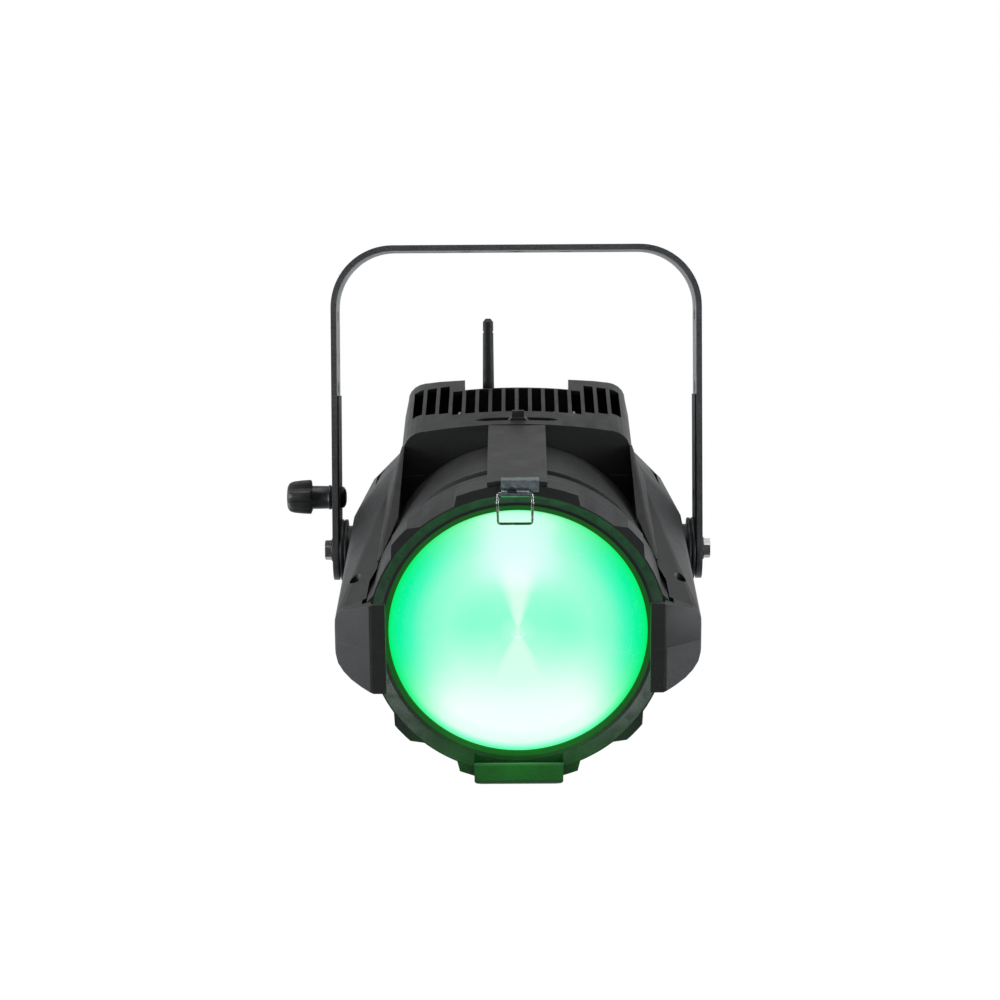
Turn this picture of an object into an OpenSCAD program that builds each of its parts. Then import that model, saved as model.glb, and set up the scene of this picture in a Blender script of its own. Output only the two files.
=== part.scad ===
// Par can light: a lamp head with a round lens, carried in a steel yoke.
// Frame: +Z up, the front of the lamp faces -Y, origin at the centre of the
// clamp hole in the yoke's top bar, on the bar's upper face.
// Head pieces are drawn along the optical axis and then tilted about the pivots.

/* [Yoke] */
// Width across the outside of the two arms
yoke_w = 257; // [250:1:270]
// Height from the pivots to the top face of the bar
pivot_drop = 212; // [200:1:240]
// Width of the steel strip
strip_w = 42; // [38:1:46]
// Thickness of the steel strip
strip_t = 4; // [3:0.5:5]
// Outer radius of the two top corners
corner_r = 43; // [30:1:60]
// Radius of the clamp hole in the middle of the bar
clamp_hole_r = 6.5; // [5:0.5:7]
// Distance between the two side holes in the bar
side_hole_gap = 69; // [60:1:80]
// Radius of the side holes in the bar
side_hole_r = 5.25; // [4:0.25:6]
// Radius of the pivot holes
pivot_hole_r = 4.1; // [4.05:0.05:4.1]
// Height of the knob's bolt above the pivots
knob_up = 37; // [35:1:45]

/* [Head] */
// Tilt of the head at rest, lens downwards
tilt = 17.1; // [0:0.1:35]
// How far the optical axis passes below the pivots
axis_drop = 6; // [0:1:10]
// Distance from the pivots forward to the lens face
lens_w = 140; // [138:1:142]
// Radius of the lens
lens_r = 86.5; // [84:0.5:87]
// Height of the casing's crown over the optical axis
crown_h = 104.6; // [103:0.1:106]
// Half width of the casing at the top
crown_hw = 78; // [76:1:80]
// Wall thickness of the casing
wall = 3; // [2:0.5:4]
// Height of the casing's parting plane on the optical axis
part_z = -6; // [-8:1:-4]

/* [Accessory holder] */
// Half width of the pocket for the accessory frame
pocket_hw = 96; // [95.5:0.5:97]
// Depth of the pocket along the axis
pocket_d = 6; // [4.5:0.1:7]

/* [Cooling] */
// Number of vent slots across the crown
vents = 16; // [10:2:20]
// Distance from one vent slot to the next
vent_pitch = 9.26; // [8.5:0.1:10]
// Width of a vent slot
vent_w = 6.7; // [5:0.1:7]

/* [Hidden] */
$fn = 96;
hw = yoke_w / 2;
inner_x = hw - strip_t;
bezel_w = lens_w + 7;        // front plane of the bezel
lip_w = bezel_w + 0.3 + pocket_d;
front_w = lip_w + 3;         // front of the holder's lips
rear_w = -97;

// Optical-axis space: X right, Y = -w (front negative), Z up from the optical axis
module head() translate([0, 0, -pivot_drop]) rotate([tilt, 0, 0]) translate([0, 0, -axis_drop]) children();
// Extrudes an outline in X and Z from w0 to w1 along the optical axis
module alongw(w0, w1) translate([0, -w0, 0]) rotate([90, 0, 0]) linear_extrude(w1 - w0) children();
// Turns an outline in radius and w about the optical axis
module spin() rotate([90, 0, 0]) rotate_extrude() children();
// Extrudes an outline in w and Z across the width
module across(x0, x1) translate([x0, 0, 0]) rotate([90, 0, 90]) linear_extrude(x1 - x0) mirror([1, 0, 0]) children();
module both() { children(); mirror([1, 0, 0]) children(); }
// A straight cylinder along the optical axis
module rod(x, z, r, w0, w1) translate([x, -w0, z]) rotate([90, 0, 0]) cylinder(r = r, h = w1 - w0);
// A box given by its limits in x, w and z
module wbox(x0, x1, w0, w1, z0, z1) translate([x0, -w1, z0]) cube([x1 - x0, w1 - w0, z1 - z0]);
// A straight cylinder along the width
module xrod(r, x0, x1) translate([x0, 0, 0]) rotate([0, 90, 0]) cylinder(r = r, h = x1 - x0);

/* ---------- yoke ---------- */
module strip_outline() difference() {
  union() {
    translate([-hw, -pivot_drop - 25]) square([yoke_w, pivot_drop + 25 - corner_r]);
    translate([-hw + corner_r, -corner_r]) square([yoke_w - 2 * corner_r, corner_r]);
    for (s = [-1, 1]) translate([s * (hw - corner_r), -corner_r]) circle(r = corner_r);
  }
  translate([-inner_x, -pivot_drop - 30]) square([2 * inner_x, pivot_drop + 30 - corner_r]);
  translate([-hw + corner_r, -corner_r - 1]) square([yoke_w - 2 * corner_r, corner_r + 1 - strip_t]);
  for (s = [-1, 1]) translate([s * (hw - corner_r), -corner_r]) circle(r = corner_r - strip_t);
}
module arm_end_cut(x0, x1, r) difference() {
  translate([x0, -40, -pivot_drop - 40]) cube([x1 - x0, 80, 40]);
  translate([0, 0, -pivot_drop]) xrod(r, x0 - 1, x1 + 1);
}
module yoke() color([0.13, 0.135, 0.145]) difference() {
  translate([0, strip_w / 2, 0]) rotate([90, 0, 0]) linear_extrude(strip_w) strip_outline();
  arm_end_cut(-hw - 1, -inner_x + 5, strip_w / 2);
  arm_end_cut(inner_x - 5, hw + 1, strip_w / 2);
  translate([0, 0, -strip_t - 1]) cylinder(r = clamp_hole_r, h = strip_t + 2);
  for (s = [-1, 1]) translate([s * side_hole_gap / 2, 0, -strip_t - 1]) cylinder(r = side_hole_r, h = strip_t + 2);
  translate([0, 0, -pivot_drop]) {
    xrod(pivot_hole_r, -hw - 1, hw + 1);
    for (z = [knob_up, 113.5, 163.5]) translate([0, 0, z]) xrod(4.1, -hw - 1, hw + 1);
  }
}
module arm_liners() color([0.09, 0.09, 0.1]) both() difference() {
  translate([inner_x - 1, -18, -pivot_drop - 25]) cube([1, 36, 25 + 108]);
  arm_end_cut(inner_x - 5, hw + 1, 19);
  translate([0, 0, -pivot_drop]) {
    xrod(pivot_hole_r + 0.2, 0, hw);
    translate([0, 0, knob_up]) xrod(4.3, 0, hw);
  }
}
/* ---------- clamp knob on the left arm ---------- */
module knob() color([0.06, 0.065, 0.07]) translate([0, 0, -pivot_drop + knob_up]) difference() {
  union() {
    xrod(8.2, -146, -hw - 1.5);
    rotate([0, -90, 0]) translate([0, 0, 143.5]) linear_extrude(17) union() {
      circle(r = 9.4);
      for (a = [0 : 60 : 300]) rotate(a) translate([8.6, 0]) circle(r = 3.6);
    }
    xrod(6.8, -161.4, -160);
  }
  xrod(4, -150, -hw);
  // chamfered rim of the wing head
  for (s = [0]) translate([-160.5, 0, 0]) rotate([0, -90, 0]) difference() {
    translate([0, 0, -2.2]) cylinder(r = 16, h = 2.3);
    translate([0, 0, -2.25]) cylinder(r1 = 12.6, r2 = 9.6, h = 2.5);
  }
}
module knob_washer() color([0.5, 0.5, 0.5]) translate([0, 0, -pivot_drop + knob_up]) difference() {
  xrod(8, -hw - 1.3, -hw);
  xrod(4.2, -hw - 2, -hw + 1);
}
module knob_bolt() color([0.1, 0.1, 0.11]) translate([0, 0, -pivot_drop + knob_up]) {
  xrod(3.92, -148, -inner_x + 1.1);
  translate([-inner_x + 1, 0, 0]) rotate([0, 90, 0]) rotate_extrude()
    polygon([[0, 0], [7.65, 0], [7.65, 1.2], [7.1, 2.4], [5.6, 3.4], [3.4, 4], [0, 4.2]]);
}
/* ---------- pivots ---------- */
module pivot_bolts() color([0.62, 0.62, 0.6]) translate([0, 0, -pivot_drop]) both() {
  xrod(4, 104, hw + 1.8);
  translate([hw + 1.7, 0, 0]) rotate([0, 90, 0]) rotate([0, 0, 10]) intersection() {
    cylinder(r = 7.1, h = 4.6, $fn = 6);
    cylinder(r1 = 9.2, r2 = 6.6, h = 4.61);
  }
}
module pivot_washers() color([0.55, 0.55, 0.54]) translate([0, 0, -pivot_drop]) both() difference() {
  xrod(8, hw + 0.06, hw + 1.7);
  xrod(4, hw - 1, hw + 3);
}
module friction_discs() color([0.04, 0.045, 0.05]) translate([0, 0, -pivot_drop]) both() difference() {
  union() {
    xrod(21.5, inner_x - 6, inner_x - 1.08);
  }
  xrod(4, 100, hw);
  // shallow groove round the rim
  rotate([0, 90, 0]) translate([0, 0, inner_x - 4]) difference() { cylinder(r = 25, h = 0.8); translate([0, 0, -1]) cylinder(r = 20.7, h = 3); }
}
module pivot_bosses() color([0.2, 0.2, 0.2]) translate([0, 0, -pivot_drop]) both() difference() {
  union() { xrod(17, 104, inner_x - 6); xrod(12, 100, 104); }
  xrod(4, 99, hw);
}

/* ---------- casing ---------- */
// Half of the hood's front outline, from the middle of the crown to the parting plane
function crown(i) = concat(
  [for (k = [0 : 8]) let (u = 63 * k / 8) [u, crown_h - i - u * u / 780]],
  [for (a = [80 : -16 : 0]) [crown_hw - i - 15 + 15 * cos(a), crown_h - i - 5.1 - 14.6 + 14.6 * sin(a)]],
  [[crown_hw + 2.6 - i, 72], [crown_hw + 5 - i, 30], [crown_hw + 5 - i, part_z]]);
function mirrored(p) = [for (k = [len(p) - 1 : -1 : 1]) [-p[k][0], p[k][1]]];
module hood_outline(i) { c = crown(i); polygon(concat(c, mirrored(c))); }
// Side outline in w and Z
module hood_side(i) polygon([[20 + 1, part_z], [20 + 1, crown_h + 2], [-84, crown_h + 0.3 - i], [-91, crown_h - 4 - i],
  [rear_w + 2 + i, crown_h - 14 - i], [rear_w + i, crown_h - 30], [rear_w + i, part_z]]);
module hood(i) intersection() {
  alongw(rear_w - 1, 20) hood_outline(i);
  across(-90, 90) hood_side(i);
}
// Side pod from behind the pivot to the holder's ear; sections given in u and Z at three stations
module sec(w, t, p) alongw(w - t, w) polygon(p);
module pod_upper() hull() {
  sec(-69, 1, [[-60, part_z], [-60, 62], [-80, 58], [-103, 34], [-108, 22], [-108, part_z]]);
  sec(6, 8, [[-60, part_z], [-60, 73], [-81.6, 71.5], [-110, 37], [-114, 30], [-115.6, 20], [-115.6, part_z]]);
  sec(139, 1, [[-95, part_z], [-95, 25.6], [-115, 17.4], [-118.6, 14.5], [-120.4, 9], [-120.6, part_z]]);
}
module pod_lower() hull() {
  sec(-69, 1, [[-60, part_z], [-60, -60], [-84, -54], [-104, -34], [-108, -24], [-108, part_z]]);
  sec(6, 8, [[-60, part_z], [-60, -64], [-88, -56], [-108, -38], [-115.6, -26], [-115.6, part_z]]);
  sec(139, 1, [[-95, part_z], [-95, -37], [-103, -34], [-110, -30.4], [-115.2, -26], [-118.8, -21], [-120.4, -15], [-120.6, part_z]]);
}
// Holder ear in front of the pods, seen from above in u and w
module ear_top_view() translate([0, 0, -120]) linear_extrude(240) mirror([0, 1, 0])
  polygon([[-120.6, 138.9], [-120.6, 139.6], [-119.6, 141], [-97.2, front_w - 0.4], [-95.6, front_w], [-86.6, front_w], [-86.6, lip_w], [-pocket_hw, lip_w],
    [-pocket_hw, bezel_w + 0.3], [-pocket_hw - 6, bezel_w + 0.3], [-pocket_hw - 6, 138.9]]);
module ear(up) intersection() {
  ear_top_view();
  alongw(130, front_w + 1) if (up) polygon([[-80, part_z], [-80, 25.6], [-95, 25.6], [-115, 17.4], [-118.6, 14.5], [-120.4, 9], [-121, part_z]]);
    else polygon([[-80, part_z], [-80, -37], [-95, -37], [-103, -34], [-110, -30.4], [-115.2, -26], [-118.8, -21], [-120.4, -15], [-121, part_z]]);
}
// Wing that runs from the hood's side down to the barrel's front end
module wing() hull() for (p = [[-78, 20, 88], [-80.5, 15, 72], [-88, 28, 60], [-89.5, 54, 51.5], [-92.5, 104.6, 36.9], [-81.1, 70.7, 55.1]])
  translate([p[0], -p[1], p[2]]) cube(1.6, center = true);
// Space between the wing and the barrel
module wing_space() translate([0, 0, 30]) linear_extrude(70) mirror([0, 1, 0])
  polygon([[-50, 20.5], [-79.5, 20.5], [-80.5, 71], [-92, 104.6], [-92, 110], [-50, 110]]);
// Room inside the casing for the barrel, the bezel and the works
module works_room(grips) {
  spin() polygon(concat([[0, -1], [85.7, -1], [85.7, 15], [88.6, 15], [88.6, 21], [91.4, 21], [96.7, 86], [97.3, 86], [97.3, 102]],
    grips ? [[105.3, 102], [105.3, bezel_w + 0.3]] : [[99.5, 103], [99.5, 112], [102.2, 122], [102.2, bezel_w + 0.3]], [[0, bezel_w + 0.3]]));
}
module hollow_u() {
  intersection() { hood(wall); wbox(-90, 90, rear_w - 2, 15, part_z - 1, 120); }
  both() wbox(-101, -70, -60, 8, part_z - 1, 36);
  both() wbox(-100, -70, -60, 8, 30, 46);
  wbox(-73, 73, rear_w - 2, rear_w + 8, part_z - 1, 62);
}
module vent_cuts() {
  for (k = [0 : vents - 1]) let (u = (k - (vents - 1) / 2) * vent_pitch, outer = abs(u) > 42)
    if (outer) { wbox(u - vent_w / 2, u + vent_w / 2, -76.5, -12 - (abs(u) - 42) * 0.25, 84, 120); }
    else wbox(u - vent_w / 2, u + vent_w / 2, -62.4, -9, 84, 120);
}
module upper_shell() color([0.16, 0.16, 0.165]) difference() {
  union() {
    difference() {
      union() {
        hood(0);
        both() {
          difference() { pod_upper(); wing_space(); }
          ear(true);
          wing();
        }
      }
      hollow_u();
    }
    // floor and walls of the step in the crown's rear
    intersection() { hood(0.6); wbox(-38.6, 38.6, -99, -62, 79.6, 120); }
  }
  works_room(false);
  // step for the antenna
  wbox(-37, 37, -110, -63.9, 82, 120);
  vent_cuts();
  // finger recess of the lock slider
  translate([0, -8, crown_h - 4.6]) linear_extrude(10) union() {
    translate([-21, -3.2]) square([42, 6.4]);
    for (s = [-1, 1]) translate([s * 21, 0]) scale(1) polygon([[0, -3.2], [s * 5, -2], [s * 8, 0], [s * 5, 2], [0, 3.2]]);
  }
  // recesses over the ear screws and short slits on the shoulders
  both() {
    translate([-107.5, -114, 10]) cylinder(r = 4, h = 40);
    translate([-107.5, -114, -20]) cylinder(r = 1.7, h = 40);
    hull() for (p = [[-98.4, 0, 53.6], [-89.4, 17, 63]]) translate([p[0], -p[1], p[2]]) rotate([0, -45, 0]) cube([3, 1, 1.2], center = true);
    // way for the pivot boss
    translate([-90, 0, axis_drop]) xrod(17.05, -30, 30);
  }
  translate([ant_x, 80, 78]) cylinder(r = 7.05, h = 10);
}
module lower_outline(i) polygon(concat(
  [[crown_hw + 5 - i, part_z], [crown_hw + 4 - i, -52], [crown_hw - 4 - i, -70 + i], [56 - i, -88 + i], [30, -95 + i], [0, -97 + i]],
  [[-30, -95 + i], [-56 + i, -88 + i], [-crown_hw + 4 + i, -70 + i], [-crown_hw - 4 + i, -52], [-crown_hw - 5 + i, part_z]]));
module lower_side(i) polygon([[21, part_z], [21, -110], [-60, -110], [-86 + i, -84 + i], [rear_w + i, -66 + i], [rear_w + i, part_z]]);
module lower_body(i) intersection() {
  alongw(rear_w - 1, 20) lower_outline(i);
  across(-90, 90) lower_side(i);
}
module lower_shell() color([0.16, 0.16, 0.165]) difference() {
  union() {
    lower_body(0);
    both() { pod_lower(); ear(false); }
  }
  intersection() { lower_body(wall); wbox(-90, 90, rear_w - 2, 15, -120, part_z + 1); }
  both() wbox(-101, -70, -60, 8, -30, part_z + 1);
  wbox(-73, 73, rear_w - 2, rear_w + 8, -62, part_z + 1);
  works_room(false);
  // intake slots in the underside
  for (k = [-5 : 5]) wbox(k * 9.26 - 3, k * 9.26 + 3, -58, -16, -110, -80);
  both() {
    translate([-90, 0, axis_drop]) xrod(17.05, -30, 30);
    translate([-107.5, -114, -16]) cylinder(r = 1.7, h = 20);
  }
}
// Arm below the bezel with the lower lip of the holder
module bottom_arm() color([0.15, 0.15, 0.155]) intersection() {
  difference() {
    across(-29.5, 29.5) polygon([[8, -90], [12, -99], [60, -106], [120, -110], [140, -108.5], [front_w - 7, -105.5], [front_w - 2, -102.5], [front_w, -99.6],
      [front_w, -88.8], [front_w - 0.8, -88.2], [lip_w, -88.2], [lip_w, -pocket_hw], [bezel_w + 0.3, -pocket_hw], [bezel_w + 0.3, -105.2], [106, -105.2], [100, -99], [20.3, -96.5], [20.3, -90]]);
    works_room(true);
    intersection() { lower_body(0); wbox(-90, 90, -100, 20, -120, 0); }
    rod(0, -101.5, 1.6, -2, 40);
  }
  alongw(0, front_w + 1) polygon([[-29.5, -60], [-29.5, -101], [-27.5, -104.5], [-18, -107.5], [0, -110.5], [18, -107.5], [27.5, -104.5], [29.5, -101], [29.5, -60]]);
}
/* ---------- barrel, bezel and lens ---------- */
module barrel() color([0.15, 0.15, 0.155]) spin()
  polygon([[85.6, 15.1], [88.5, 15.1], [88.5, 21], [91, 21.1], [91.4, 24], [96.2, 86], [96.6, 88], [93.2, 89], [93.2, 96.6], [96.2, 97.2], [96.2, 98.6], [93.2, 99.2],
    [93.2, 101.8], [90.4, 101.8], [90.2, 90], [85.6, 22]]);
// Raised grips round the bezel: ht and hb are the half angles at the top and at the foot
function flank(ht, hb, r0, r1) = let (a = [r1 * cos(ht), r1 * sin(ht)], b = [r0 * cos(hb), r0 * sin(hb)]) [a, b + (b - a) * 0.5];
function flip(p) = [for (k = [len(p) - 1 : -1 : 0]) [p[k][0], -p[k][1]]];
module lobe(a, ht, hb, r0, r1) let (f = flank(ht, hb, r0, r1)) rotate(a) polygon(concat([[r1, -r1 * sin(ht) * 0.5], [r1, r1 * sin(ht) * 0.5]], f, flip(f)));
module wide_lobe(a, ht, hb, r0, r1) let (f = flank(ht, hb, r0, r1)) rotate(a)
  polygon(concat([for (b = [-ht + ht / 4 : ht / 4 : ht - 0.1]) [r1 * cos(b), r1 * sin(b)]], f, flip(f)));
module bezel_outline() {
  circle(r = 98.8);
  for (a = [42, 138, 222, 318]) lobe(a, 4.2, 8.6, 98.8, 103.8);
  for (a = [90, 270]) wide_lobe(a, 22, 24.5, 98.8, 104.8);
  for (a = [0, 180]) wide_lobe(a, 14, 17, 98.8, 101.5);
}
module front_bezel() color([0.15, 0.15, 0.155]) difference() {
  intersection() {
    alongw(102, bezel_w) bezel_outline();
    spin() polygon([[0, 101], [95, 101], [97, 101.9], [98.9, 104], [98.9, 112], [104.8, 132], [106.5, 138], [106.5, bezel_w + 1], [0, bezel_w + 1]]);
  }
  spin() polygon([[0, 100], [90.5, 100], [90.5, 104], [88.6, 108], [88.6, 126], [84.2, 127], [84.2, 134], [88.7, 134], [88.7, 141.6], [91, 142], [91, 142.6], [97.6, bezel_w - 0.3],
    [98, bezel_w + 1], [0, bezel_w + 1]]);
  // flat land for the accessory frame's lower edge
  wbox(-29.8, 29.8, 142.4, bezel_w + 1, -94.5, -80);
}
module lens() color([0.6, 1, 0.8, 0.6]) spin() polygon([[0, 136.4], [lens_r, 136.4], [lens_r, 139.4], [84, 139.7], [60, 140.3], [30, 140.7], [0, 140.8]]);
module lens_gasket() color([0.03, 0.03, 0.03]) spin() polygon([[84.6, 134.05], [88.65, 134.05], [88.65, 141.4], [85.4, 141], [85.2, 139.7], [86.55, 139.5], [86.55, 136.3], [84.6, 136.3]]);
module top_bridge() color([0.17, 0.17, 0.17]) difference() {
  intersection() {
    alongw(20.1, bezel_w - 1) polygon(concat([for (b = [-10.4 : 2.08 : 10.41]) [107.8 * sin(b), 107.8 * cos(b)]], [[19.2, 96.5], [-19.2, 96.5]]));
    across(-21, 21) polygon([[20.1, 98], [20.1, 104], [60, 105.3], [120, 107.2], [141, 107.8], [bezel_w - 1.4, 107.3], [bezel_w - 1, 106.6], [bezel_w - 1, 103], [132, 103], [112, 97], [104, 97], [99, 100.5], [60, 99.4]]);
  }
  spin() polygon([[0, 10], [97, 10], [97.4, 101.9], [99.1, 104], [99.1, 112], [104.95, 131.8], [104.95, 160], [0, 160]]);
}
/* ---------- latch ---------- */
bail_w = lip_w + 1.15;
bail_z = 101.4;
bail_x = -1.45;
bail_hw = 11.1;
bail_drop = 20.6;
module rod_x(x0, x1, w, z, r) translate([x0, -w, z]) rotate([0, 90, 0]) cylinder(r = r, h = x1 - x0, $fn = 48);
module latch_notch() intersection() {
  rod(-3.5, 101.3, 3.7, bezel_w - 1, bezel_w + 12);
  wbox(-8, 1, bezel_w + 3, bezel_w + 11, 102.2, 106);
}
module latch_plate() color([0.55, 0.6, 0.6]) difference() {
  union() {
    wbox(-10.4, 14, bezel_w + 3.6, bezel_w + 5.2, 101.5, 109.6);
    wbox(-10.4, 14, bezel_w - 0.95, bezel_w + 5.2, 108.2, 109.6);
    wbox(-9, 12.6, bezel_w + 0.05, bezel_w + 4, 101.5, 103);
  }
  latch_notch();
}
// tube behind the plate's lower edge that carries the bail
module latch_tube() color([0.55, 0.6, 0.6]) difference() {
  rod_x(-10.4, 7.6, bail_w, bail_z, 2.2);
  rod_x(-30, 30, bail_w, bail_z, 1.08);
  latch_notch();
}
module wire_bail() color([0.7, 0.72, 0.7]) translate([bail_x, -bail_w, bail_z]) {
  rotate([0, 90, 0]) translate([0, 0, -bail_hw - 0.5]) cylinder(r = 1, h = 2 * bail_hw + 1, $fn = 48);
  for (s = [-1, 1]) {
    translate([s * bail_hw, 0, 3.5 - bail_drop]) cylinder(r = 0.9, h = bail_drop - 3.0, $fn = 48);
    translate([s * (bail_hw - 3.5), 0, 3.5 - bail_drop]) rotate([90, 0, 0]) mirror([s < 0 ? 1 : 0, 0, 0]) rotate([0, 0, -90]) rotate_extrude(angle = 90) translate([3.5, 0]) circle(r = 0.9, $fn = 48);
  }
  translate([3.5 - bail_hw, 0, -bail_drop]) rotate([0, 90, 0]) cylinder(r = 0.9, h = 2 * bail_hw - 7, $fn = 48);
}
/* ---------- lock slider ---------- */
module lock_slider() color([0.12, 0.12, 0.12]) {
  across(-3.4, 5.2) polygon([[4.95, 100.7], [5.4, 105], [6, 109.4], [7, 110.6], [9.2, 110.6], [10, 109.4], [10.6, 105], [11.05, 100.7]]);
  intersection() {
    wbox(-7.5, 9.3, 4.95, 11.05, 100.7, 106);
    alongw(4, 12) polygon([[-7.5, 100], [-7.5, 102.2], [-6.4, 103.4], [-3.4, 106], [5.2, 106], [8.2, 103.4], [9.3, 102.2], [9.3, 100]]);
  }
}
module slider_track() color([0.1, 0.1, 0.1]) wbox(-27, 27, 0, 14.8, 98, crown_h - wall - 1.05);
/* ---------- antenna ---------- */
ant_x = -20.2;
ant_w = -80;
ant_z = 91;
module ant() translate([ant_x, -ant_w, ant_z]) rotate([-tilt, 0, 0]) children();
module antenna() color([0.03, 0.03, 0.035]) ant() difference() {
  union() {
    translate([0, 0, 3.6]) cylinder(r1 = 2.6, r2 = 4.1, h = 3);
    translate([0, 0, 6.6]) cylinder(r1 = 4.1, r2 = 3.7, h = 48.6);
    translate([0, 0, 55.1]) cylinder(r1 = 3.7, r2 = 1.8, h = 2.4);
    translate([-1.9, -2.6, 0]) cube([3.8, 5.2, 5]);
    rotate([0, 90, 0]) translate([0, 0, -1.9]) cylinder(r = 2.6, h = 3.8, $fn = 48);
  }
  translate([0, 0, 47.4]) difference() { cylinder(r = 6, h = 1.2); translate([0, 0, -1]) cylinder(r = 3.3, h = 4); }
  rotate([0, 90, 0]) translate([0, 0, -5]) cylinder(r = 1.06, h = 10, $fn = 48);
}
module antenna_knuckle() color([0.05, 0.05, 0.055]) translate([ant_x, -ant_w, ant_z]) {
  for (s = [-1, 1]) translate([s > 0 ? 2.15 : -4.4, 0, 0]) {
    rotate([0, 90, 0]) cylinder(r = 3.2, h = 2.25, $fn = 48);
    translate([0, -3.2, -4.6]) cube([2.25, 6.4, 4.6]);
  }
  rotate([0, 90, 0]) translate([0, 0, -4.2]) cylinder(r = 1, h = 8.4, $fn = 48);
  translate([0, 0, 83.6 - ant_z]) difference() {
    cylinder(r = 5.4, h = 3);
    translate([0, 0, -1]) cylinder(r = 2.05, h = 2.4);
  }
}
module antenna_base() color([0.6, 0.5, 0.2]) translate([ant_x, -ant_w, 0]) {
  translate([0, 0, 78.2]) cylinder(r = 6.9, h = 5.1);
  translate([0, 0, 76]) cylinder(r = 4, h = 2.3);
  translate([0, 0, 83.2]) cylinder(r = 2, h = 1.3);
}
/* ---------- rear panel and its fittings ---------- */
fan_z = -8;
btn_x = [-24, -8, 8, 24];
sock_x = [-55, -26, 26, 55];
sock_z = -47;
module rear_panel() color([0.1, 0.1, 0.105]) difference() {
  wbox(-72.8, 72.8, rear_w, rear_w + 2.8, -61.8, 61.8);
  wbox(-27, 27, rear_w - 1, rear_w + 4, 37, 57);
  for (x = btn_x) rod(x, 27, 4.05, rear_w - 1, rear_w + 4);
  for (x = sock_x) rod(x, sock_z, 10.6, rear_w - 1, rear_w + 4);
  rod(0, sock_z, 6.1, rear_w - 1, rear_w + 4);
  for (k = [-5 : 5]) let (h = sqrt(max(0, 38 * 38 - k * k * 49)) * 0.62)
    wbox(k * 7 - 1.9, k * 7 + 1.9, rear_w - 1, rear_w + 4, fan_z - min(h, 22), fan_z + min(h, 22));
  for (x = [-69.7, 69.7], z = [-56, 56]) rod(x, z, 1.7, rear_w - 1, rear_w + 4);
  for (z = [22, 42]) rod(58, z, 2.55, rear_w - 1, rear_w + 4);
}
module display_window() color([0.02, 0.05, 0.08]) wbox(-26.9, 26.9, rear_w + 0.4, rear_w + 3.6, 37.1, 56.9);
module button(x) rod_steps(x, 27);
module rod_steps(x, z) { rod(x, z, 3.95, rear_w - 2.6, rear_w + 3.0); rod(x, z, 5, rear_w + 2.9, rear_w + 4.1); }
module menu_buttons(i) color([0.2, 0.2, 0.2]) button(btn_x[i]);
module socket_shell(x) difference() {
  union() {
    rod(x, sock_z, 10.5, rear_w - 0.1, rear_w + 14);
    wbox(x - 11.8, x + 11.8, rear_w - 1.8, rear_w, sock_z - 12.6, sock_z + 12.6);
  }
  rod(x, sock_z, 8.3, rear_w - 3, rear_w + 11);
  for (s = [-1, 1]) rod(x + s * 9.5, sock_z - s * 9.9, 1.4, rear_w - 3, rear_w - 1);
}
module data_sockets() color([0.45, 0.45, 0.45]) for (i = [0, 1]) {
  socket_shell(sock_x[i]);
  for (a = [0 : 72 : 288]) rod(sock_x[i] + 4.6 * cos(a), sock_z + 4.6 * sin(a), 1, rear_w + 7, rear_w + 11.2);
}
module power_inlet() color([0.1, 0.25, 0.6]) {
  socket_shell(sock_x[2]);
  for (a = [90 : 120 : 330]) rod(sock_x[2] + 4 * cos(a), sock_z + 4 * sin(a), 1.4, rear_w + 7, rear_w + 11.2);
}
module power_outlet() color([0.7, 0.7, 0.7]) {
  socket_shell(sock_x[3]);
  for (a = [30 : 120 : 270]) rod(sock_x[3] + 4 * cos(a), sock_z + 4 * sin(a), 1.4, rear_w + 7, rear_w + 11.2);
}
module fuse_holder() color([0.05, 0.05, 0.05]) difference() {
  union() { rod(0, sock_z, 6, rear_w - 0.1, rear_w + 14); rod(0, sock_z, 8, rear_w - 4, rear_w); }
  wbox(-5, 5, rear_w - 5, rear_w - 2.6, sock_z - 0.8, sock_z + 0.8);
}
module safety_loop() color([0.6, 0.6, 0.6]) translate([58, -rear_w, 32]) {
  rotate([0, 90, 0]) rotate_extrude(angle = 180) translate([10, 0]) circle(r = 2.5, $fn = 32);
  for (z = [-10, 10]) translate([0, 0, z]) rotate([90, 0, 0]) cylinder(r = 2.5, h = 6);
}
module panel_screws() color([0.5, 0.5, 0.5]) for (x = [-69.7, 69.7], z = [-56, 56]) difference() {
  union() { rod(x, z, 2.6, rear_w - 1.6, rear_w); rod(x, z, 1.6, rear_w - 0.1, rear_w + 2.7); }
  rod(x, z, 1.2, rear_w - 2, rear_w - 0.7);
}
module shell_screws() color([0.2, 0.2, 0.2]) both() difference() {
  union() {
    translate([-107.5, -114, 10]) cylinder(r = 3.4, h = 2.4);
    translate([-107.5, -114, -15]) cylinder(r = 1.65, h = 25.1);
  }
  translate([-107.5, -114, 11.2]) cylinder(r = 1.5, h = 2);
}
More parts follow.
